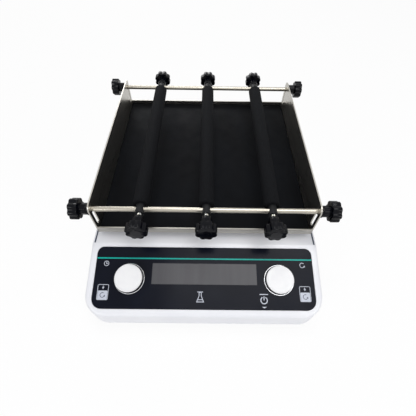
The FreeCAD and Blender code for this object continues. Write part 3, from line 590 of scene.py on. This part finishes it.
def keep_border(shape, width):
    """Leaves a border of flat faces and removes what lies inside it."""
    ring = bmesh.ops.inset_region(shape, faces=list(shape.faces), thickness=width,
                                  use_boundary=True, use_even_offset=True)
    inner = [face for face in shape.faces if face not in ring["faces"]]
    bmesh.ops.delete(shape, geom=inner, context="FACES")


def lift_faces(shape, faces, height):
    """Extrudes flat faces straight up the z axis."""
    raised = bmesh.ops.extrude_face_region(shape, geom=faces)
    top = [item for item in raised["geom"] if isinstance(item, bmesh.types.BMVert)]
    bmesh.ops.translate(shape, verts=top, vec=(0, 0, height))


def settle(shape, place):
    """Turns the faces outwards and moves the shape to its place."""
    bmesh.ops.recalc_face_normals(shape, faces=shape.faces)
    bmesh.ops.transform(shape, matrix=place, verts=shape.verts)


def add_arc(shape, across, up, radius, stroke, start, sweep):
    """Adds a flat band along a circle, from a start angle through a sweep."""
    aim = Vector((math.cos(start), math.sin(start), 0))
    middle = Vector((across, up, 0))
    ends = [shape.verts.new(middle + aim * (radius + side * stroke / 2)) for side in (-1, 1)]
    edge = shape.edges.new(ends)
    steps = max(least_arc_steps, round(abs(sweep) / arc_step))
    bmesh.ops.spin(shape, geom=ends + [edge], cent=middle, axis=(0, 0, 1), angle=sweep,
                   steps=steps, use_merge=abs(sweep) > closed_sweep, use_duplicate=False)


def add_triangle(shape, across, up, radius, turn):
    """Adds an even triangle that points up the slope, turned by an angle."""
    place = Matrix.Translation((across, up, 0)) @ Matrix.Rotation(turn, 4, "Z")
    bmesh.ops.create_circle(shape, cap_ends=True, radius=radius, segments=3, matrix=place)


def panel_place():
    """Frame on the panel's face: x across, y up the slope from the top edge, z outwards."""
    low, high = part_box("control_panel")
    edge = Vector((0, high.y - panel_thickness * math.sin(console_slope), high.z))
    return Matrix.Translation(edge) @ Matrix.Rotation(console_slope, 4, "X")


def print_ink(name, shape, place, ink, body):
    """Gives flat figures the thickness of ink and lays them on their surface."""
    lift_faces(shape, list(shape.faces), ink_thickness + ink_sink)
    bmesh.ops.translate(shape, verts=shape.verts, vec=(0, 0, -ink_sink))
    settle(shape, place)
    make_piece(name, shape, inks[ink], body)


def panel_line():
    """Teal line that runs the panel's whole width."""
    shape = bmesh.new()
    add_strip(shape, 0, -line_down, panel_width - 2 * rim_gap, line_width)
    print_ink("panel_line", shape, panel_place(), "teal", "root")


def power_symbol():
    """Stand-by symbol with a short bar above and a pointer below."""
    shape = bmesh.new()
    add_arc(shape, power_across, -power_down, power_radius, power_stroke,
            (math.pi + power_gap) / 2, 2 * math.pi - power_gap)
    add_strip(shape, power_across, -power_down + power_bar_length / 2, power_stroke,
              power_bar_length)
    add_strip(shape, power_across, -header_down, header_width, header_height)
    corners = [(-pointer_width / 2, pointer_height / 2), (0, -pointer_height / 2),
               (pointer_width / 2, pointer_height / 2)]
    shape.faces.new([shape.verts.new((power_across + across, up - pointer_down, 0))
                     for across, up in corners])
    print_ink("power_symbol", shape, panel_place(), "pale", "root")


def push_mark(side_name, side):
    """Framed pictogram beside a knob: press above, turn below."""
    across = side * box_across
    frame_shape = bmesh.new()
    corners = add_strip(frame_shape, across, -box_down, box_width, box_height)
    round_off(frame_shape, corners, box_radius, corner_segments, "VERTICES")
    keep_border(frame_shape, box_line)
    cell_height = box_height - box_split - box_line
    cell_up = -box_down - box_split / 2
    cell = add_strip(frame_shape, across, cell_up, box_width - 3 * box_line, cell_height - box_line)
    round_off(frame_shape, cell, box_radius / 2, corner_segments, "VERTICES")
    press_up = -box_down + box_height / 2 - box_split / 2
    add_strip(frame_shape, across, press_up + box_line, symbol_stroke, box_split / 3)
    add_triangle(frame_shape, across, press_up - box_line, box_split / 4, math.pi)
    print_ink("push_mark_" + side_name, frame_shape, panel_place(), "pale", "root")

    figure = bmesh.new()
    radius = cell_height / 4
    add_arc(figure, across, cell_up, radius, symbol_stroke, turn_arrow_start, turn_arrow_sweep)
    end = turn_arrow_start + turn_arrow_sweep
    add_triangle(figure, across + radius * math.cos(end), cell_up + radius * math.sin(end),
                 radius / 2, end)
    lift = panel_place() @ Matrix.Translation((0, 0, ink_thickness))
    print_ink("turn_figure_" + side_name, figure, lift, "dark", "root")


def flask_mark():
    """Outline of a flask, half full, in the middle of the panel below the display."""
    low = -flask_down - flask_height / 2
    top = -flask_down + flask_height / 2
    shoulder = low + flask_height * flask_shoulder_share
    shape = bmesh.new()
    half_outline = [(flask_foot / 2, low), (flask_neck / 2, shoulder), (flask_neck / 2, top)]
    outline = half_outline + [(-across, up) for across, up in reversed(half_outline)]
    shape.faces.new([shape.verts.new((flask_across + across, up, 0)) for across, up in outline])
    shape.normal_update()
    keep_border(shape, flask_line)
    add_strip(shape, flask_across, top, 2 * flask_neck, flask_line)
    add_strip(shape, flask_across, low + flask_height / 4, flask_foot / 2, flask_line)
    print_ink("flask_mark", shape, panel_place(), "pale", "root")


def clock_mark():
    """Clock face over the left knob's side of the panel: this knob sets the time."""
    shape = bmesh.new()
    add_arc(shape, -caption_across, -caption_down, caption_radius, symbol_stroke, 0, 2 * math.pi)
    add_strip(shape, -caption_across, -caption_down + caption_radius / 4, symbol_stroke,
              caption_radius)
    add_strip(shape, -caption_across + caption_radius / 3, -caption_down, caption_radius * 2 / 3,
              symbol_stroke)
    print_ink("clock_mark", shape, panel_place(), "pale", "root")


def orbit_mark():
    """Circling arrow over the right knob's side of the panel: this knob sets the speed."""
    shape = bmesh.new()
    add_arc(shape, caption_across, -caption_down, caption_radius, symbol_stroke,
            orbit_arrow_start, orbit_arrow_sweep)
    end = orbit_arrow_start + orbit_arrow_sweep
    add_triangle(shape, caption_across + caption_radius * math.cos(end),
                 -caption_down + caption_radius * math.sin(end), caption_radius / 2, end)
    print_ink("orbit_mark", shape, panel_place(), "pale", "root")


def panel_rim():
    """Raised white bead of the housing round the panel."""
    shape = bmesh.new()
    reach = rim_gap + rim_width
    corners = add_strip(shape, 0, -panel_depth / 2, panel_width + 2 * reach,
                        panel_depth + 2 * reach)
    upper = [corner for corner in corners if corner.co.y > -panel_depth / 2]
    lower = [corner for corner in corners if corner.co.y < -panel_depth / 2]
    for chosen, radius in ((upper, panel_upper_radius), (lower, panel_lower_radius)):
        round_off(shape, chosen, radius + reach, panel_corner_segments, "VERTICES")
    keep_border(shape, rim_width)
    lift_faces(shape, list(shape.faces), panel_sink + rim_rise + rim_round)
    bmesh.ops.translate(shape, verts=shape.verts, vec=(0, 0, -rim_round))
    bmesh.ops.recalc_face_normals(shape, faces=shape.faces)
    crest = max(vert.co.z for vert in shape.verts)
    edges = [edge for edge in shape.edges
             if min(vert.co.z for vert in edge.verts) > crest - rim_round / 10
             and any(face.normal.z < level_normal for face in edge.link_faces)]
    round_off(shape, edges, rim_round)
    bmesh.ops.transform(shape, matrix=panel_place(), verts=shape.verts)
    make_piece("panel_rim", shape, finishes["housing_white"], "root")


def turned(shape, profile, steps=turn_steps):
    """Turns a profile of (radius, height) points round the z axis. Zero radius closes an end."""
    verts = [shape.verts.new((radius, 0, height)) for radius, height in profile]
    edges = [shape.edges.new(pair) for pair in zip(verts, verts[1:])]
    bmesh.ops.spin(shape, geom=verts + edges, cent=(0, 0, 0), axis=(0, 0, 1),
                   angle=2 * math.pi, steps=steps, use_merge=True, use_duplicate=False)
    bmesh.ops.remove_doubles(shape, verts=shape.verts, dist=weld_distance)


def star_outline(shape, radius, depth, rounding, height):
    """Flat star of broad lobes with shallow rounded notches."""
    before = set(shape.faces)
    made = bmesh.ops.create_circle(shape, cap_ends=True, radius=radius, segments=3 * knob_lobes,
                                   matrix=Matrix.Translation((0, 0, height)))
    rim = made["verts"]
    for index, vert in enumerate(rim):
        if index % 3 == 0:
            vert.co.xy *= (radius - depth) / radius
    round_off(shape, rim, rounding, affect="VERTICES")
    return [face for face in shape.faces if face not in before]


def knob_head(shape):
    """Lobed head with rounded rims, a little lower than the cap in its face."""
    low = knob_hub_length
    high = knob_hub_length + knob_head_length - knob_cap_rise
    outline = star_outline(shape, knob_radius, knob_notch_depth, knob_notch_round, low)
    lift_faces(shape, outline, high - low)
    bmesh.ops.recalc_face_normals(shape, faces=shape.faces)
    rims = [edge for edge in shape.edges
            if any(all(abs(vert.co.z - level) < level_tolerance for vert in edge.verts)
                   for level in (low, high))]
    round_off(shape, rims, knob_rim_round, clamp=True)


def axis_place(start, direction):
    """Frame whose z axis runs along the direction from the start."""
    return Matrix.Translation(start) @ direction.to_track_quat("Z", "Y").to_matrix().to_4x4()


def star_knob(node, direction, body):
    """Moulded star knob in place of its solid, with a fluted hub, a cap and its own stud."""
    low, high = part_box(node)
    middle = (low + high) / 2
    reach = max(abs(corner.dot(direction) - middle.dot(direction)) for corner in (low, high))
    total = knob_hub_length + knob_head_length
    tip = middle + direction * (reach - total)
    place = axis_place(tip, direction)
    shape = bmesh.new()
    knob_head(shape)
    outline = star_outline(shape, knob_hub_root_radius, knob_flute_depth, knob_notch_round / 2,
                           knob_cone_length)
    lift_faces(shape, outline, knob_hub_length - knob_cone_length + knob_rim_round)
    turned(shape, [(0, 0), (knob_hub_tip_radius - knob_cap_round, 0),
                   (knob_hub_tip_radius, knob_cap_round),
                   (knob_hub_root_radius - knob_flute_depth, knob_cone_length),
                   (0, knob_cone_length)])
    under = total - 2 * knob_cap_rise
    turned(shape, [(0, under), (knob_cap_radius, under),
                   (knob_cap_radius, total - knob_cap_round),
                   (knob_cap_radius - knob_cap_round, total), (0, total)])
    if body.startswith("side"):
        turned(shape, [(0, 0), (flange_radius, 0), (flange_radius, flange_length - knob_cap_round),
                       (flange_radius - knob_cap_round, flange_length), (0, flange_length)])
    settle(shape, place)
    knob = make_piece("star_" + node, shape, finishes["knob_black"], body)
    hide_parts(node)
    if body.startswith("bar"):
        threaded_stud("stud_" + node, place, body)


def threaded_stud(name, place, body):
    """Screw end that shows bright between the knob and the bar's end fitting."""
    shape = bmesh.new()
    profile = [(0, -stud_reach)]
    turns = round(stud_reach / thread_pitch)
    for turn in range(turns):
        height = turn * thread_pitch - stud_reach
        profile.append((stud_radius - thread_depth, height))
        profile.append((stud_radius, height + thread_pitch / 2))
    profile += [(stud_radius - thread_depth, 0), (stud_radius - thread_depth, thread_pitch),
                (0, thread_pitch)]
    turned(shape, profile, steps=stud_turn_steps)
    settle(shape, place)
    make_piece(name, shape, finishes["screw_steel"], body)


def control_place(side):
    """Frame on the panel's face at a control knob's axis."""
    low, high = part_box("knob_trim_rings")
    face = panel_place()
    middle = Vector((0, (low.y + high.y) / 2, (low.z + high.z) / 2))
    along = face.inverted() @ middle
    return face @ Matrix.Translation((side * control_across, along.y, 0))


def control_knob(side_name, side):
    """White cap with a crisp raised rim over a dark skirt."""
    node = "control_knob_" + side_name
    place = control_place(side)
    low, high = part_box(node)
    radius = (high.x - low.x) / 2
    corners = [place.inverted() @ Vector((0, y, z))
               for y in (low.y, high.y) for z in (low.z, high.z)]
    tilted = radius * math.sin(2 * console_slope)
    top = max(corner.z for corner in corners) - tilted
    bottom = min(corner.z for corner in corners) + tilted
    flat = top - cap_rim_rise
    under = top - cap_height
    cap = bmesh.new()
    turned(cap, [(0, flat), (radius - cap_chamfer - cap_rim_width - cap_rim_rise, flat),
                 (radius - cap_chamfer - cap_rim_width, top), (radius - cap_chamfer, top),
                 (radius, top - cap_chamfer), (radius, under), (radius - skirt_inset, under),
                 (0, under)], steps=fine_turn_steps)
    settle(cap, place)
    piece = make_piece("control_cap_" + side_name, cap, finishes["control_white"], node)
    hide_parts(node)
    skirt = bmesh.new()
    inner = radius - skirt_inset
    turned(skirt, [(0, under), (inner, under), (inner, bottom), (0, bottom)], steps=fine_turn_steps)
    settle(skirt, place)
    make_piece("control_skirt_" + side_name, skirt, finishes["switch_black"], node)


def trim_rings():
    """Polished rings on the panel, round both control knobs."""
    rings = bmesh.new()
    for side in (-1, 1):
        shape = bmesh.new()
        inner = ring_radius - ring_width
        turned(shape, [(inner, -panel_sink), (inner, ring_height - panel_sink - ring_round),
                       (inner + ring_round, ring_height - panel_sink),
                       (ring_radius - ring_round, ring_height - panel_sink),
                       (ring_radius, ring_height - panel_sink - ring_round),
                       (ring_radius, -panel_sink), (inner, -panel_sink)], steps=fine_turn_steps)
        settle(shape, control_place(side))
        mesh = bpy.data.meshes.new("ring")
        shape.to_mesh(mesh)
        shape.free()
        rings.from_mesh(mesh)
        bpy.data.meshes.remove(mesh)
    piece = make_piece("trim_rings", rings, finishes["bright_trim"], "root")
    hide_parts("knob_trim_rings")


def painted_shade_strips():
    """Painted shade: dark strips on the deck's side edges behind the console, where the tray shades
    them.
    """
    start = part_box("control_panel")[1].y + side_trim_start
    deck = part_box("housing_shell")[1].z
    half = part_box("base_plate")[1].x
    for name, side in (("left", -1), ("right", 1)):
        shape = bmesh.new()
        add_strip(shape, side * (half - side_trim_inset / 2), start + side_trim_length / 2,
                  side_trim_width, side_trim_length)
        lift_faces(shape, list(shape.faces), 2 * side_trim_rise)
        settle(shape, Matrix.Translation((0, 0, deck - side_trim_rise)))
        # The dark ink colour paints the tray's shade on the deck edge here; these strips are no
        # part of the housing.
        make_piece("side_trim_" + name, shape, inks["dark"], "root")


def foam_sleeve(bar):
    """Foam tube on one clamping bar, with soft rims and a slightly uneven skin."""
    node = "foam_sleeve_" + bar
    low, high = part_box(node)
    radius = (high.x - low.x) / 2
    length = high.y - low.y
    shape = bmesh.new()
    rings = round(length / foam_ring_pitch)
    bmesh.ops.create_grid(shape, x_segments=1, y_segments=rings, size=1 / 2)
    bmesh.ops.scale(shape, verts=shape.verts, vec=(radius - foam_bore_radius, length, 1))
    bmesh.ops.translate(shape, verts=shape.verts, vec=((radius + foam_bore_radius) / 2, 0, 0))
    rim = [edge for edge in shape.edges if edge.is_boundary]
    bmesh.ops.delete(shape, geom=list(shape.faces), context="FACES_ONLY")
    inner_edges = [edge for edge in shape.edges if edge not in rim]
    bmesh.ops.delete(shape, geom=inner_edges, context="EDGES")
    bmesh.ops.spin(shape, geom=list(shape.verts) + list(shape.edges), cent=(0, 0, 0),
                   axis=(0, 1, 0), angle=2 * math.pi, steps=foam_turn_steps, use_merge=True,
                   use_duplicate=False)
    bmesh.ops.remove_doubles(shape, verts=shape.verts, dist=foam_round / 100)
    bmesh.ops.recalc_face_normals(shape, faces=shape.faces)
    end_rims = [edge for edge in shape.edges
                if all(abs(abs(vert.co.y) - length / 2) < foam_round / 100
                       and math.hypot(vert.co.x, vert.co.z) > radius * foam_rim_share
                       for vert in edge.verts)]
    round_off(shape, end_rims, foam_round, foam_rim_segments)
    for vert in shape.verts:
        out = Vector((vert.co.x, 0, vert.co.z))
        if out.length > radius * foam_skin_share:
            spot = vert.co / foam_swell_length + Vector((low.x, 0, 0)) / mm
            vert.co += out.normalized() * (noise.noise(spot) - 1) * foam_swell
    middle = (low + high) / 2
    bmesh.ops.translate(shape, verts=shape.verts, vec=middle)
    sleeve = make_piece("foam_" + bar, shape, finishes["foam_black"], "bar_" + bar)
    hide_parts(node)


def tray_mat():
    """Rubber sheet on the tray's floor, not quite flat, with a rounded rim."""
    low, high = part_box("tray_mat")
    size = high - low
    shape = bmesh.new()
    bmesh.ops.create_grid(shape, x_segments=mat_cells, y_segments=mat_cells, size=1 / 2)
    bmesh.ops.scale(shape, verts=shape.verts, vec=(size.x, size.y, 1))
    lift_faces(shape, list(shape.faces), size.z)
    bmesh.ops.recalc_face_normals(shape, faces=shape.faces)
    corners = [edge for edge in shape.edges
               if all(abs(vert.co.x) > size.x / 2 - mat_round / 10
                      and abs(vert.co.y) > size.y / 2 - mat_round / 10 for vert in edge.verts)]
    round_off(shape, corners, mat_corner_radius, mat_corner_segments)
    rims = [edge for edge in shape.edges
            if all(vert.co.z > size.z - mat_round / 10 for vert in edge.verts)
            and any(abs(face.normal.z) < level_normal for face in edge.link_faces)]
    round_off(shape, rims, mat_round)
    for vert in shape.verts:
        if vert.co.z > size.z - mat_round / 10:
            spot = Vector((vert.co.x, vert.co.y, 0)) / mat_wave_length
            vert.co.z += (noise.noise(spot) - 1) * mat_wave
    middle = (low + high) / 2
    bmesh.ops.translate(shape, verts=shape.verts, vec=(middle.x, middle.y, low.z))
    mat = make_piece("mat", shape, finishes["mat_rubber"], "platform")
    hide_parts("tray_mat")


def rocker_marks():
    """On and off marks, a bar and a ring, on the two halves of the mains rocker."""
    pivot = Matrix.Translation(rocker_pivot) @ Matrix.Rotation(rocker_tilt, 4, "X")
    upright = Matrix.Rotation(-math.pi / 2, 4, "X") @ Matrix.Rotation(math.pi, 4, "Z")
    for name, half in (("on", 1), ("off", -1)):
        shape = bmesh.new()
        if name == "on":
            add_strip(shape, 0, 0, rocker_mark_stroke, 2 * rocker_mark_size)
        else:
            add_arc(shape, 0, 0, rocker_mark_size, rocker_mark_stroke, 0, 2 * math.pi)
        proud = rocker_face + rocker_mark_reach * math.tan(rocker_vee)
        place = (pivot @ Matrix.Translation((0, proud, half * rocker_mark_reach))
                 @ Matrix.Rotation(half * -rocker_vee, 4, "X") @ upright)
        print_ink("rocker_mark_" + name, shape, place, "pale", "power_switch")


def make_camera():
    data = bpy.data.cameras.new("camera")
    data.lens = camera_lens
    data.sensor_width = camera_sensor
    camera = bpy.data.objects.new("camera", data)
    camera.matrix_world = (Matrix.Translation(camera_place)
                           @ Matrix.Rotation(-camera_yaw, 4, "Z")
                           @ Matrix.Rotation(math.pi / 2 - camera_pitch, 4, "X")
                           @ Matrix.Rotation(camera_roll, 4, "Z"))
    bpy.context.scene.collection.objects.link(camera)
    bpy.context.scene.camera = camera


def seen_directly(tree):
    """One for rays from the camera or by way of gloss or glass, zero for light on matt faces."""
    rays = add_node(tree, "ShaderNodeLightPath", {})
    seen = rays.outputs["Is Camera Ray"]
    for other in ("Is Glossy Ray", "Is Transmission Ray"):
        seen = add_node(tree, "ShaderNodeMath", {0: seen, 1: rays.outputs[other]},
                        operation="MAXIMUM").outputs["Value"]
    return seen


def floor_finish():
    """Matt white studio floor that stays near white to the camera and keeps a soft shadow."""
    material = bpy.data.materials.new("studio_floor")
    material.use_nodes = True
    tree = material.node_tree
    tree.nodes.clear()
    share = add_node(tree, "ShaderNodeMath", {0: seen_directly(tree), 1: floor_glow},
                     operation="MULTIPLY").outputs["Value"]
    matt = add_node(tree, "ShaderNodeBsdfDiffuse", {"Color": linear("#f4f4f5")})
    glow = add_node(tree, "ShaderNodeEmission", {"Color": linear("#ffffff"), "Strength": 1})
    mixed = add_node(tree, "ShaderNodeMixShader",
                     {0: share, 1: matt.outputs["BSDF"], 2: glow.outputs["Emission"]})
    add_node(tree, "ShaderNodeOutputMaterial", {"Surface": mixed.outputs["Shader"]})
    return material


def make_floor():
    shape = bmesh.new()
    bmesh.ops.create_grid(shape, x_segments=1, y_segments=1, size=floor_size / 2)
    mesh = bpy.data.meshes.new("floor")
    shape.to_mesh(mesh)
    shape.free()
    mesh.materials.append(floor_finish())
    floor = bpy.data.objects.new("floor", mesh)
    bpy.context.scene.collection.objects.link(floor)


def make_world():
    """Even pale surroundings, white where the camera, metal or glass looks past the floor."""
    world = bpy.data.worlds.new("studio")
    world.use_nodes = True
    tree = world.node_tree
    tree.nodes.clear()
    around = add_node(tree, "ShaderNodeBackground",
                      {"Color": linear("#f6f7fa"), "Strength": surround_strength})
    white = add_node(tree, "ShaderNodeBackground", {"Color": linear("#ffffff"), "Strength": 1})
    mixed = add_node(tree, "ShaderNodeMixShader",
                     {0: seen_directly(tree), 1: around.outputs["Background"],
                      2: white.outputs["Background"]})
    add_node(tree, "ShaderNodeOutputWorld", {"Surface": mixed.outputs["Shader"]})
    bpy.context.scene.world = world


def add_softbox(name, place, aim, width, depth, power):
    """Rectangular soft light that looks at a point."""
    data = bpy.data.lights.new(name, "AREA")
    data.shape = "RECTANGLE"
    data.size = width
    data.size_y = depth
    data.energy = power
    light = bpy.data.objects.new(name, data)
    towards = Vector(aim) - Vector(place)
    turn = towards.to_track_quat("-Z", "Y").to_matrix().to_4x4()
    light.matrix_world = Matrix.Translation(place) @ turn
    bpy.context.scene.collection.objects.link(light)


def make_lights():
    for softbox in softboxes:
        add_softbox(*softbox)


make_camera()
make_floor()
make_world()
make_lights()
dress_solids()
panel_rim()
panel_line()
power_symbol()
for side_name, side in (("left", -1), ("right", 1)):
    push_mark(side_name, side)
flask_mark()
clock_mark()
orbit_mark()
trim_rings()
# Painted shade along the deck's side edges under the tray.
painted_shade_strips()
for side_name, side in (("left", -1), ("right", 1)):
    control_knob(side_name, side)
    for end in ("front", "rear"):
        knob_name = "side_knob_" + end + "_" + side_name
        star_knob(knob_name, Vector((side, 0, 0)), knob_name)
for bar in ("left", "centre", "right"):
    foam_sleeve(bar)
    for end, side in (("front", -1), ("rear", 1)):
        knob_name = "bar_knob_" + end + "_" + bar
        star_knob(knob_name, Vector((0, side, 0)), knob_name)
tray_mat()
rocker_marks()

bpy.context.scene.view_settings.view_transform = "Standard"
